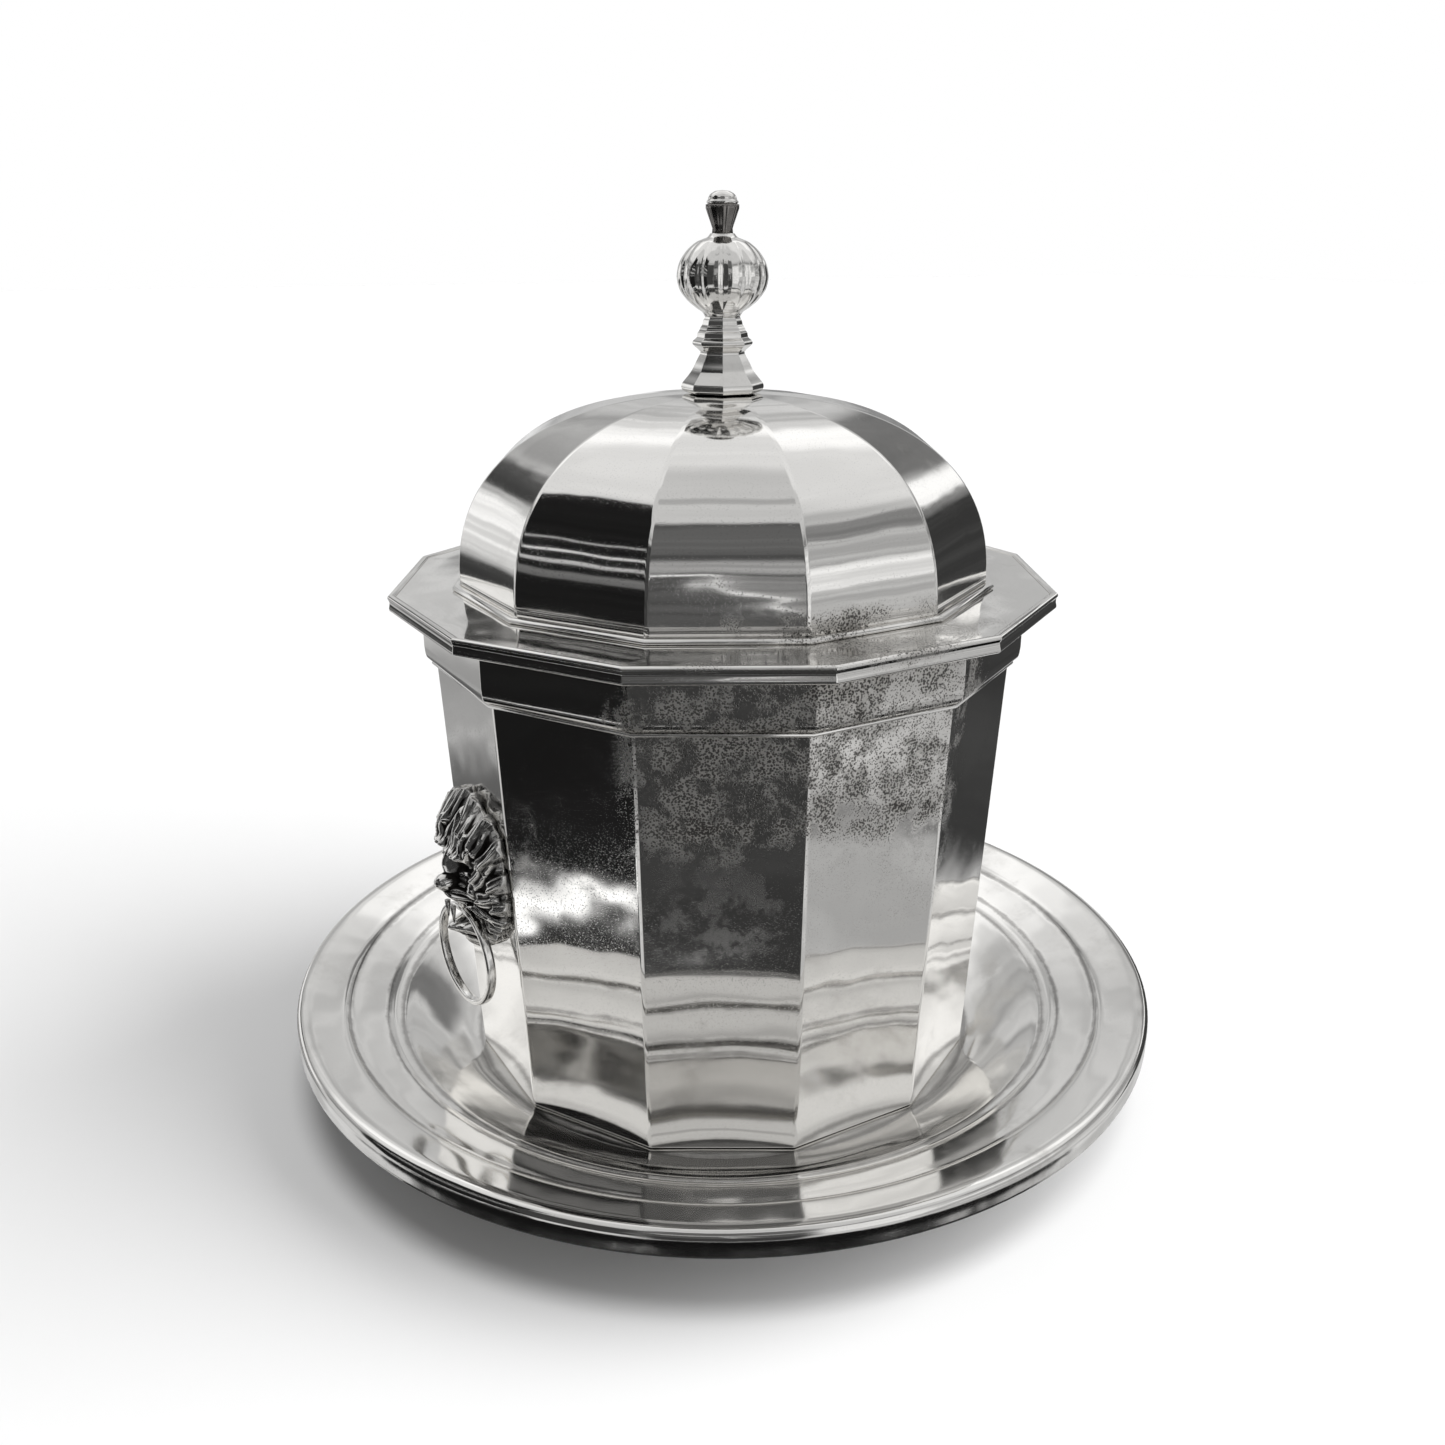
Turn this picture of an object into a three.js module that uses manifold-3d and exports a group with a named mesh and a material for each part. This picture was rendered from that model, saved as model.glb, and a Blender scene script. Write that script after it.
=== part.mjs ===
// A covered sugar bowl in sheet silver: a twelve-sided bowl on a round dished stand, with a
// twelve-sided domed lid, a turned finial and a lion mask with a drop ring on two opposite panels.
// Millimetres, +Z up, origin on the table under the centre; the masks are on -X and +X.
import * as THREE from "three";
import Module from "manifold-3d";

const GAP = 0.3; // clearance between neighbouring pieces
const SIDES = 12; // panels of the bowl, the lid and their mouldings
const FACETS = 8; // sides of the finial's lower pieces
const ROUND = 48; // segments of the large round pieces
const SHEET = 1.2; // thickness of the rolled silver sheet
const FLAT = Math.cos(Math.PI / SIDES); // from a corner radius to the middle of a side

// Levels
const FOOT_Z = 8; // top of the flat centre of the stand, where the bowl stands
const LINE_Z = 98.9; // moulding line under the rim band
const BOWL_TOP_Z = 112.4;
const FLANGE_Z = 114.3; // top of the lid's flange beside the dome
const DOME_Z = 114.7; // lower edge of the dome
const DOME_RISE = 37.4; // height of the dome
const FINIAL_Z = 152.4; // lower face of the finial

// Radii; those of twelve-sided pieces are taken to the corners
const FOOT_R = 56.6;
const LINE_R = 61.2;
const FLANGE_R = 70.1;
const DOME_R = 55.6;
const STAND_R = 96.8;

// Masks and rings
const MASK_Z = 57.5; // height of the middle of a mask
const MOUTH_Z = 50.5; // height of a ring's pivot
const MOUTH_X = 62.9; // distance of a ring's pivot from the middle of the bowl
const RING_R = 11.4; // middle of the ring's wire
const RING_WIRE = 0.95;
const STUD_R = 1.6;

const wasm = await Module();
wasm.setup();

const group = new THREE.Group();

function add(name, geometry, colour) {
  const material = new THREE.MeshStandardMaterial({
    color: colour,
    metalness: 1,
    roughness: 0.25,
  });
  const mesh = new THREE.Mesh(geometry, material);
  mesh.name = name;
  group.add(mesh);
}

// Corner radius of the outside of the bowl's wall at a height.
function wallRadius(z) {
  return FOOT_R + ((LINE_R - FOOT_R) * (z - FOOT_Z)) / (LINE_Z - FOOT_Z);
}

// Distance of the middle of a panel's outside from the axis at a height.
function panelX(z) {
  return wallRadius(z) * FLAT;
}

// Turns a profile of [radius, height] points about Z. Its first and last points are both on the
// axis, or none of its points is and it closes on itself.
function turned(profile, segments = ROUND) {
  let area = 0;
  profile.forEach(([r, z], i) => {
    const [r2, z2] = profile[(i + 1) % profile.length];
    area += r * z2 - r2 * z;
  });
  const points = profile.map(([r, z]) => new THREE.Vector2(r, z));
  if (area < 0) points.reverse();
  if (points[0].x > 0) points.push(points[0].clone());
  const geometry = new THREE.LatheGeometry(points, segments, Math.PI / 12);
  return geometry.rotateX(Math.PI / 2);
}

// Moves a line of points along its left-hand normal, for the other face of a sheet.
function offset(points, distance) {
  return points.map(([r, z], i) => {
    const a = points[Math.max(i - 1, 0)];
    const b = points[Math.min(i + 1, points.length - 1)];
    const length = Math.hypot(b[0] - a[0], b[1] - a[1]);
    const dr = (-(b[1] - a[1]) / length) * distance;
    const dz = ((b[0] - a[0]) / length) * distance;
    return [r + dr, z + dz];
  });
}

// A sheet of even thickness whose upper face follows the points from the middle outwards.
function sheet(points, thickness) {
  return [...points, ...offset(points, -thickness).reverse()];
}

// Upright cylinder from one height to another.
function rod(radius, low, high, segments = 20) {
  const length = high - low;
  const geometry = new THREE.CylinderGeometry(radius, radius, length, segments);
  return geometry.rotateX(Math.PI / 2).translate(0, 0, (low + high) / 2);
}

// The same piece laid along X at a height, on the +X side or turned round to the -X side.
function laid(geometry, z, side) {
  const along = geometry.clone().rotateY(Math.PI / 2).translate(0, 0, z);
  return side > 0 ? along : along.rotateZ(Math.PI);
}

function toSolid(geometry) {
  const flat = geometry.index ? geometry.toNonIndexed() : geometry;
  const position = flat.getAttribute("position");
  const seen = new Map();
  const vertices = [];
  const corners = [];
  for (let i = 0; i < position.count; i++) {
    const p = [position.getX(i), position.getY(i), position.getZ(i)];
    const key = p.map((v) => Math.round(v * 1000)).join(" ");
    if (!seen.has(key)) {
      seen.set(key, seen.size);
      vertices.push(...p);
    }
    corners.push(seen.get(key));
  }
  const triangles = [];
  for (let i = 0; i < corners.length; i += 3) {
    const [a, b, c] = corners.slice(i, i + 3);
    if (a !== b && b !== c && c !== a) triangles.push(a, b, c);
  }
  return new wasm.Manifold(
    new wasm.Mesh({
      numProp: 3,
      vertProperties: new Float32Array(vertices),
      triVerts: new Uint32Array(triangles),
    }),
  );
}

function toGeometry(solid) {
  const mesh = solid.getMesh();
  const geometry = new THREE.BufferGeometry();
  const position = new THREE.BufferAttribute(mesh.vertProperties, 3);
  geometry.setAttribute("position", position);
  geometry.setIndex(new THREE.BufferAttribute(mesh.triVerts, 1));
  geometry.computeVertexNormals();
  return geometry;
}

// ---- Stand: one spun dish with its edge turned down over a wire, on a low foot ring
const dish = [
  [2.4, FOOT_Z],
  [57.5, FOOT_Z],
  [60.4, FOOT_Z + 0.6],
  [64.3, FOOT_Z + 2.2],
  [68.2, FOOT_Z + 4.4],
  [71.1, FOOT_Z + 6.3],
  [73, FOOT_Z + 7.6],
  [74.1, FOOT_Z + 8.2],
  [75.9, FOOT_Z + 8.5],
  [77, FOOT_Z + 9.1],
  [78.3, FOOT_Z + 9.7],
  [82.9, FOOT_Z + 11],
  [85.4, FOOT_Z + 11.6],
  [86.5, FOOT_Z + 12.5],
  [87.9, FOOT_Z + 13.1],
  [92.4, FOOT_Z + 14.4],
  [94.9, FOOT_Z + 14.9],
  [96.3, FOOT_Z + 14.6],
  [STAND_R, FOOT_Z + 13.6],
  [STAND_R, FOOT_Z + 10.5],
];
add("tray", turned(sheet(dish, SHEET)), 0xc4c4c0);

const edgeWire = new THREE.TorusGeometry(94, 1.1, 8, ROUND);
add("tray_edge_wire", edgeWire.translate(0, 0, FOOT_Z + 11.6), 0x9a9a96);

const footTop = FOOT_Z - SHEET - GAP;
const footRing = [
  [47.8, footTop],
  [47.8, footTop - 1],
  [49.4, footTop - 1.2],
  [49.4, 2.6],
  [49.2, 0],
  [53.4, 0],
  [53.4, 1],
  [51.4, 1.4],
  [50.6, 2.6],
  [50.6, footTop - 1.2],
  [52, footTop - 1],
  [52, footTop],
];
add("tray_foot_ring", turned(footRing), 0xb4b4b0);

// ---- Bowl: twelve tapered panels round a flat base, screwed down to the stand
const wallLow = FOOT_Z + GAP;
const wall = [
  [wallRadius(wallLow) - SHEET, wallLow],
  [wallRadius(wallLow), wallLow],
  [wallRadius(BOWL_TOP_Z), BOWL_TOP_Z],
  [wallRadius(BOWL_TOP_Z) - SHEET, BOWL_TOP_Z],
];
const STUD_Z = MASK_Z + 4;
const studHole = rod(STUD_R + GAP, 50, 65);
const shell = toSolid(turned(wall, SIDES))
  .subtract(toSolid(laid(studHole, STUD_Z, 1)))
  .subtract(toSolid(laid(studHole, STUD_Z, -1)));
add("bowl_wall", toGeometry(shell), 0xc8c8c4);

const baseTop = wallLow + 1.4;
const baseR = wallRadius(wallLow) - SHEET - GAP / FLAT;
const base = [
  [2.6, wallLow],
  [baseR, wallLow],
  [baseR, baseTop],
  [2.6, baseTop],
];
add("bowl_base", turned(base, SIDES), 0xb8b8b4);

const screw = [
  [0, wallLow - SHEET - 4.4],
  [4.2, wallLow - SHEET - 4.4],
  [5.4, wallLow - SHEET - 3.4],
  [5.4, wallLow - SHEET - 2.4],
  [2, wallLow - SHEET - 2.4],
  [2, baseTop + 5],
  [0, baseTop + 5],
];
// The screw's head bears on a washer under the stand.
add("centre_screw", turned(screw, 24), 0x8c8c88);
const screwWasher = [
  [2.5, wallLow - SHEET - 2.1],
  [7.5, wallLow - SHEET - 2.1],
  [7.5, wallLow - SHEET - 0.6],
  [2.5, wallLow - SHEET - 0.6],
];
add("centre_washer", turned(screwWasher, 24), 0x94948f);
const screwNut = [
  [2.7, baseTop + GAP],
  [5.2, baseTop + GAP],
  [5.2, baseTop + 3.4],
  [2.7, baseTop + 3.4],
];
add("centre_nut", turned(screwNut, 6), 0x8c8c88);

// Collar round the mouth: plain above, an ovolo below that rests on a fine wire
const collarIn = (z) => wallRadius(z) + GAP / FLAT;
const collar = [
  [collarIn(LINE_Z + 1), LINE_Z + 1],
  [62.1, LINE_Z + 1],
  [62.9, LINE_Z + 1.8],
  [63.4, LINE_Z + 3.2],
  [63.5, LINE_Z + 5],
  [63.5, BOWL_TOP_Z - 0.3],
  [collarIn(BOWL_TOP_Z - 0.3), BOWL_TOP_Z - 0.3],
];
add("rim_band", turned(collar, SIDES), 0xbebeba);
const line = [
  [61.55, LINE_Z - 0.7],
  [62, LINE_Z - 0.7],
  [62.3, LINE_Z - 0.3],
  [62.3, LINE_Z + 0.3],
  [62, LINE_Z + 0.7],
  [61.6, LINE_Z + 0.7],
];
add("band_wire", turned(line, SIDES), 0xd4d4d0);

// ---- Lid: flange with an applied edge, dome, bead at its foot, and a locating rim inside
const flange = [
  [50.8, FLANGE_Z],
  [58, FLANGE_Z],
  [61, FLANGE_Z - 0.3],
  [65, FLANGE_Z - 0.6],
  [68.3, FLANGE_Z - 0.6],
];
add("lid_flange", turned(sheet(flange, SHEET), SIDES), 0xcacac6);
const edge = [
  [68.7, FLANGE_Z - 0.8],
  [68.7, FLANGE_Z - 2.9],
  [69.1, FLANGE_Z - 3.5],
  [69.7, FLANGE_Z - 3.5],
  [FLANGE_R, FLANGE_Z - 2.9],
  [FLANGE_R, FLANGE_Z - 1],
  [69.7, FLANGE_Z - 0.4],
  [69, FLANGE_Z - 0.4],
];
add("flange_edge", turned(edge, SIDES), 0xd0d0cc);

// Outside of the dome, from its top to its foot: a superellipse in section.
const domeLine = [];
const DOME_STEPS = 14;
const SWELL = 2 / 2.5;
for (let i = 0; i <= DOME_STEPS; i++) {
  const turn = (Math.PI / 2) * (1 - i / DOME_STEPS);
  const r = DOME_R * Math.max(Math.cos(turn), 1e-9) ** SWELL;
  const z = DOME_Z + DOME_RISE * Math.sin(turn) ** SWELL;
  domeLine.push([Math.max(r, 2.2), z]);
}
add("lid_dome", turned(sheet(domeLine, 1.1), SIDES), 0xcccccb);

const bead = [
  [56.1, DOME_Z],
  [57.6, DOME_Z],
  [57.9, DOME_Z + 0.5],
  [57.4, DOME_Z + 1.1],
  [56.7, DOME_Z + 1.4],
  [56.1, DOME_Z + 1.3],
];
add("dome_bead", turned(bead, SIDES), 0xd4d4d0);

const rimLow = BOWL_TOP_Z - 7.5;
const locating = [
  [58.1, rimLow],
  [59.2, rimLow],
  [59.2, FLANGE_Z - SHEET - GAP],
  [58.1, FLANGE_Z - SHEET - GAP],
];
add("lid_rim", turned(locating, SIDES), 0xb8b8b4);

// ---- Finial: cast and turned pieces threaded on one stud, nutted inside the dome
const BORE = 1.9;
const foot = [
  [BORE, FINIAL_Z],
  [7.6, FINIAL_Z],
  [8.2, FINIAL_Z + 0.3],
  [8.45, FINIAL_Z + 0.9],
  [8.3, FINIAL_Z + 1.5],
  [7.9, FINIAL_Z + 2.1],
  [7, FINIAL_Z + 3.1],
  [6.2, FINIAL_Z + 4.2],
  [5.5, FINIAL_Z + 5.6],
  [4.8, FINIAL_Z + 6.9],
  [4.5, FINIAL_Z + 7.5],
  [BORE, FINIAL_Z + 7.5],
];
add("finial_foot", turned(foot, FACETS), 0xc6c6c2);
const baluster = [
  [BORE, FINIAL_Z + 7.8],
  [4.7, FINIAL_Z + 7.8],
  [5.2, FINIAL_Z + 8.5],
  [5.9, FINIAL_Z + 9],
  [6.1, FINIAL_Z + 9.6],
  [5.7, FINIAL_Z + 10.2],
  [5.2, FINIAL_Z + 10.8],
  [5, FINIAL_Z + 11.6],
  [4.4, FINIAL_Z + 12.6],
  [4, FINIAL_Z + 13.6],
  [3.6, FINIAL_Z + 14.4],
  [BORE, FINIAL_Z + 14.4],
];
add("finial_baluster", turned(baluster, FACETS), 0xbcbcb8);

// The melon's lobes deepen with its width; its bore is blind.
const LOBES = 12;
const melonLow = FINIAL_Z + 14.7;
const melon = [
  [0, melonLow + 8],
  [BORE, melonLow + 8],
  [BORE, melonLow],
  [3.6, melonLow],
  [4.2, melonLow + 0.8],
  [5.3, melonLow + 1.5],
  [7.1, melonLow + 3],
  [8.6, melonLow + 4.9],
  [9.15, melonLow + 6.9],
  [9.1, melonLow + 8.5],
  [8.6, melonLow + 10.4],
  [7.2, melonLow + 12.4],
  [5.3, melonLow + 14],
  [3.9, melonLow + 14.7],
  [2.6, melonLow + 15.4],
  [0, melonLow + 15.4],
];
const melonGeometry = turned(melon, LOBES * 4);
const melonPoints = melonGeometry.getAttribute("position");
for (let i = 0; i < melonPoints.count; i++) {
  const [x, y] = [melonPoints.getX(i), melonPoints.getY(i)];
  const r = Math.hypot(x, y);
  const turn = Math.atan2(y, x) - Math.PI / 12;
  const valley = 1 - Math.abs(Math.cos((turn * LOBES) / 2));
  const k = 1 - 0.013 * Math.max(r - 3, 0) * valley;
  melonPoints.setXY(i, x * k, y * k);
}
add("finial_melon", melonGeometry, 0xcacac6);

const budLow = melonLow + 15.7;
const bud = [
  [0, budLow],
  [1.9, budLow],
  [2, budLow + 0.8],
  [2.3, budLow + 1.7],
  [3.3, budLow + 4.5],
  [3.25, budLow + 5.2],
  [0, budLow + 5.2],
];
add("finial_bud", turned(bud, FACETS), 0x9c9c98);
const capLow = budLow + 5.5;
const cap = [
  [0, capLow],
  [3, capLow],
  [3.1, capLow + 0.3],
  [2.8, capLow + 0.7],
  [2.7, capLow + 1.1],
  [2.3, capLow + 1.7],
  [1.5, capLow + 2.2],
  [0, capLow + 2.4],
];
add("finial_cap", turned(cap, 24), 0xd0d0cc);

const domeUnder = DOME_Z + DOME_RISE - 1.1;
add("finial_stud", rod(1.4, domeUnder - 7, melonLow + 7.4), 0x8c8c88);
const washer = [
  [2, domeUnder - 1.6],
  [6.2, domeUnder - 1.6],
  [6.2, domeUnder - 0.5],
  [2, domeUnder - 0.5],
];
add("finial_washer", turned(washer, 24), 0x94948f);
const nut = [
  [2, domeUnder - 5],
  [4.4, domeUnder - 5],
  [4.4, domeUnder - 1.9],
  [2, domeUnder - 1.9],
];
add("finial_nut", turned(nut, 6), 0x8c8c88);

// ---- Masks: cast lion heads, flat behind, in mane locks round a face with a pierced muzzle
const OUTLINE = [
  [-90, 17.3],
  [-70, 15],
  [-45, 13.6],
  [-20, 14.8],
  [0, 15],
  [25, 16.3],
  [46, 20.2],
  [62, 18.2],
  [76, 18.2],
  [90, 19.2],
]; // reach of the mane at each angle from the side, mirrored on the other side
const MANE_LOCKS = 22;
const EDGE_H = 1.5; // thickness at the outline

function outline(angle) {
  const folded = Math.abs(angle) > 90 ? Math.sign(angle) * 180 - angle : angle;
  const i = Math.max(OUTLINE.findIndex(([a]) => a >= folded), 1);
  const [a0, r0] = OUTLINE[i - 1];
  const [a1, r1] = OUTLINE[i];
  return r0 + ((r1 - r0) * (folded - a0)) / (a1 - a0);
}

function bump(s, t, height, s0, t0, width, tall) {
  return height * Math.exp(-(((s - s0) / width) ** 2) - ((t - t0) / tall) ** 2);
}

// Height of the face above the back plate at s across and t up from the middle.
function relief(s, t, reach, angle) {
  const m = Math.abs(s);
  const lock = Math.abs(Math.sin((angle * Math.PI * MANE_LOCKS) / 720));
  const mane = 1 - reach ** 4;
  let h = EDGE_H + 1.9 * mane + 0.9 * lock * reach * mane;
  h += bump(m, t, 3.4, 0, 2.5, 7, 8);
  h += bump(m, t, 3.4, 0, -0.5, 2.4, 5.5);
  h += bump(m, t, 1.6, 4, 5.6, 2.6, 1.5);
  h -= bump(m, t, 1.9, 4, 3, 1.6, 1.1);
  h += bump(m, t, 1.2, 6.2, -1.5, 2.2, 3);
  h += bump(m, t, 1.8, 9, 9, 2.4, 2.2);
  const low = THREE.MathUtils.smoothstep(-t, 3.5, 5.8);
  return h * (1 - low) + Math.min(h, 4) * low;
}

function mask() {
  const around = 44;
  const steps = 8;
  const points = [];
  const put = (s, t, h) => {
    const z = MASK_Z + t;
    points.push(panelX(z) + GAP + h, s, z);
  };
  for (let k = 1; k <= steps; k++) {
    for (let i = 0; i < around; i++) {
      const angle = (360 * i) / around - 180;
      const notch = k === steps && i % 2 ? 0.93 : 1;
      const reach = k / steps;
      const r = outline(angle) * reach * notch;
      const s = r * Math.cos((angle * Math.PI) / 180);
      const t = r * Math.sin((angle * Math.PI) / 180);
      put(s, t, relief(s, t, reach, angle));
    }
  }
  for (let i = 0; i < around; i++) {
    const angle = ((360 * i) / around - 180) * (Math.PI / 180);
    const r = outline((360 * i) / around - 180) * (i % 2 ? 0.93 : 1);
    put(r * Math.cos(angle), r * Math.sin(angle), 0);
  }
  put(0, 0, relief(0, 0, 0, 0));
  put(0, 0, 0);
  const front = (steps + 1) * around;
  const faces = [];
  for (let i = 0; i < around; i++) {
    const j = (i + 1) % around;
    faces.push(front, i, j);
    for (let k = 0; k < steps; k++) {
      const a = k * around;
      const b = a + around;
      faces.push(a + i, b + i, b + j, a + i, b + j, a + j);
    }
    faces.push(front + 1, steps * around + j, steps * around + i);
  }
  const geometry = new THREE.BufferGeometry();
  const position = new THREE.Float32BufferAttribute(points, 3);
  geometry.setAttribute("position", position);
  geometry.setIndex(faces);
  const egg = (z, x, a, b, c) =>
    toSolid(
      new THREE.SphereGeometry(1, 16, 10).scale(a, b, c).translate(x, 0, z),
    );
  const plate = panelX(MOUTH_Z) + GAP;
  const tunnel = rod(RING_WIRE + 1.15, -9, 9).rotateX(Math.PI / 2);
  const lean = panelX(1) - panelX(0);
  const length = Math.hypot(1, lean);
  return toSolid(geometry)
    .add(egg(MOUTH_Z + 1.6, plate + 4.6, 6.9, 4.1, 5.2))
    .add(egg(MOUTH_Z - 3.8, plate + 3.2, 4, 3.3, 2.6))
    .trimByPlane([1 / length, 0, -lean / length], (panelX(0) + GAP) / length)
    .subtract(toSolid(tunnel.translate(MOUTH_X, 0, MOUTH_Z)));
}

const lion = toGeometry(mask());
const studX = panelX(STUD_Z);
const ring = new THREE.TorusGeometry(RING_R, RING_WIRE, 8, 32)
  .rotateY(Math.PI / 2)
  .translate(MOUTH_X, 0, MOUTH_Z - RING_R);
for (const [end, side] of [
  ["left", -1],
  ["right", 1],
]) {
  const spin = side > 0 ? 0 : Math.PI;
  add("mask_" + end, lion.clone().rotateZ(spin), 0x8f8f8a);
  add("ring_" + end, ring.clone().rotateZ(spin), 0xd6d6d2);
  const stud = rod(STUD_R, studX - 6, studX - 0.1, 16);
  add("mask_stud_" + end, laid(stud, STUD_Z, side), 0x8c8c88);
  const inside = studX - SHEET - 0.6;
  const maskNut = turned(
    [
      [2.25, inside - 2.6],
      [4.2, inside - 2.6],
      [4.2, inside],
      [2.25, inside],
    ],
    6,
  );
  add("mask_nut_" + end, laid(maskNut, STUD_Z, side), 0x8c8c88);
}

export default group;
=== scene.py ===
import math

import bmesh
import bpy
from mathutils import Matrix, Vector, noise


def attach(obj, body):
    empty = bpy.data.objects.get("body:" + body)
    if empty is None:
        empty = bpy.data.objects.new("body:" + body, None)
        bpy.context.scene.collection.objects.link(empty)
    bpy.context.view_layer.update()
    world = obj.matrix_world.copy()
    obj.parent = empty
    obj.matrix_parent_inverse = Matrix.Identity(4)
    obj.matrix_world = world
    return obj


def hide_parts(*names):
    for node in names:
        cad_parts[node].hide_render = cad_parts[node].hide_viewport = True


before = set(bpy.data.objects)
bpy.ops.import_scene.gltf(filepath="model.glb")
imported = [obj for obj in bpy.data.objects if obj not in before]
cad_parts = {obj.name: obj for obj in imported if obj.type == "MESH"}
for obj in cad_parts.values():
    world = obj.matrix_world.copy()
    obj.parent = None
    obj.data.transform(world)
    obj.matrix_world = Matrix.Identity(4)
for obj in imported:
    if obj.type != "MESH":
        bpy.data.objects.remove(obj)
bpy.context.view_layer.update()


# ---- Stand: a round dish spun from one sheet of silver, stepped in rings up to a broad border,
# its edge turned down over a wire. A low foot ring is soldered underneath.
MM = 0.001
STAND_R = 96.8
FOOT_Z = 8.0  # flat middle of the stand, where the bowl stands
SHEET = 1.2  # thickness of the sheet silver
GAP = 0.3  # room left between pieces that meet
SCREW_HOLE_R = 2.4
ROUND = 160  # segments of the large round pieces
MERGE = 0.002  # points closer than this are one


class Wire:
    """A shader socket that can be used in sums."""

    def __init__(self, recipe, socket):
        self.recipe = recipe
        self.socket = socket

    def __add__(self, other):
        return self.recipe.maths("ADD", self, other)

    def __radd__(self, other):
        return self.recipe.maths("ADD", other, self)

    def __sub__(self, other):
        return self.recipe.maths("SUBTRACT", self, other)

    def __rsub__(self, other):
        return self.recipe.maths("SUBTRACT", other, self)

    def __mul__(self, other):
        return self.recipe.maths("MULTIPLY", self, other)

    def __rmul__(self, other):
        return self.recipe.maths("MULTIPLY", other, self)


class Recipe:
    """The nodes of one material or of the world."""

    def __init__(self, owner):
        owner.use_nodes = True
        self.tree = owner.node_tree
        self.tree.nodes.clear()

    def node(self, kind, settings=None, inputs=None, output=0):
        made = self.tree.nodes.new(kind)
        for key, value in (settings or {}).items():
            setattr(made, key, value)
        for key, value in (inputs or {}).items():
            if isinstance(value, Wire):
                self.tree.links.new(value.socket, made.inputs[key])
            else:
                made.inputs[key].default_value = value
        return Wire(self, made.outputs[output]) if made.outputs else None

    def maths(self, operation, *values):
        return self.node("ShaderNodeMath", {"operation": operation}, dict(enumerate(values)))

    def noise(self, where, scale, detail=3.0, roughness=0.55):
        return self.node(
            "ShaderNodeTexNoise",
            {},
            {"Vector": where, "Scale": scale, "Detail": detail, "Roughness": roughness},
        )

    def ease(self, value, low, high, start=0.0, end=1.0):
        """start below low, end above high, and a smooth change between them."""
        return self.node(
            "ShaderNodeMapRange",
            {"interpolation_type": "SMOOTHSTEP"},
            {"Value": value, "From Min": low, "From Max": high, "To Min": start, "To Max": end},
        )

    def blend(self, factor, first, second):
        """A colour between two, each of them a wire or three numbers."""
        first, second = (c if isinstance(c, Wire) else (*c, 1) for c in (first, second))
        return self.node(
            "ShaderNodeMix",
            {"data_type": "RGBA"},
            {0: factor, 6: first, 7: second},
            output=2,
        )

    def stretch(self, where, scale, turn=(0, 0, 0)):
        return self.node("ShaderNodeMapping", {}, {"Vector": where, "Scale": scale, "Rotation": turn})

    def bump(self, strength, distance, height, under=None):
        """Relief for a shader, on top of the relief under it if there is one."""
        inputs = {"Strength": strength, "Distance": distance, "Height": height}
        if under:
            inputs["Normal"] = under
        return self.node("ShaderNodeBump", {}, inputs)

    def surface(self, inputs):
        """Ends the recipe of a material with its shader."""
        shader = self.node("ShaderNodeBsdfPrincipled", {}, inputs)
        self.node("ShaderNodeOutputMaterial", {}, {0: shader})


PIT_DIRT = (0.055, 0.05, 0.046)
GROOVE_DIRT = (0.06, 0.055, 0.05)
DAMP_SIDE = (-0.2, -0.98)  # the side of the bowl that has stood to the damp
BELT_FADE = 9  # millimetres over which the foot of a belt of pitting fades


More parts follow.
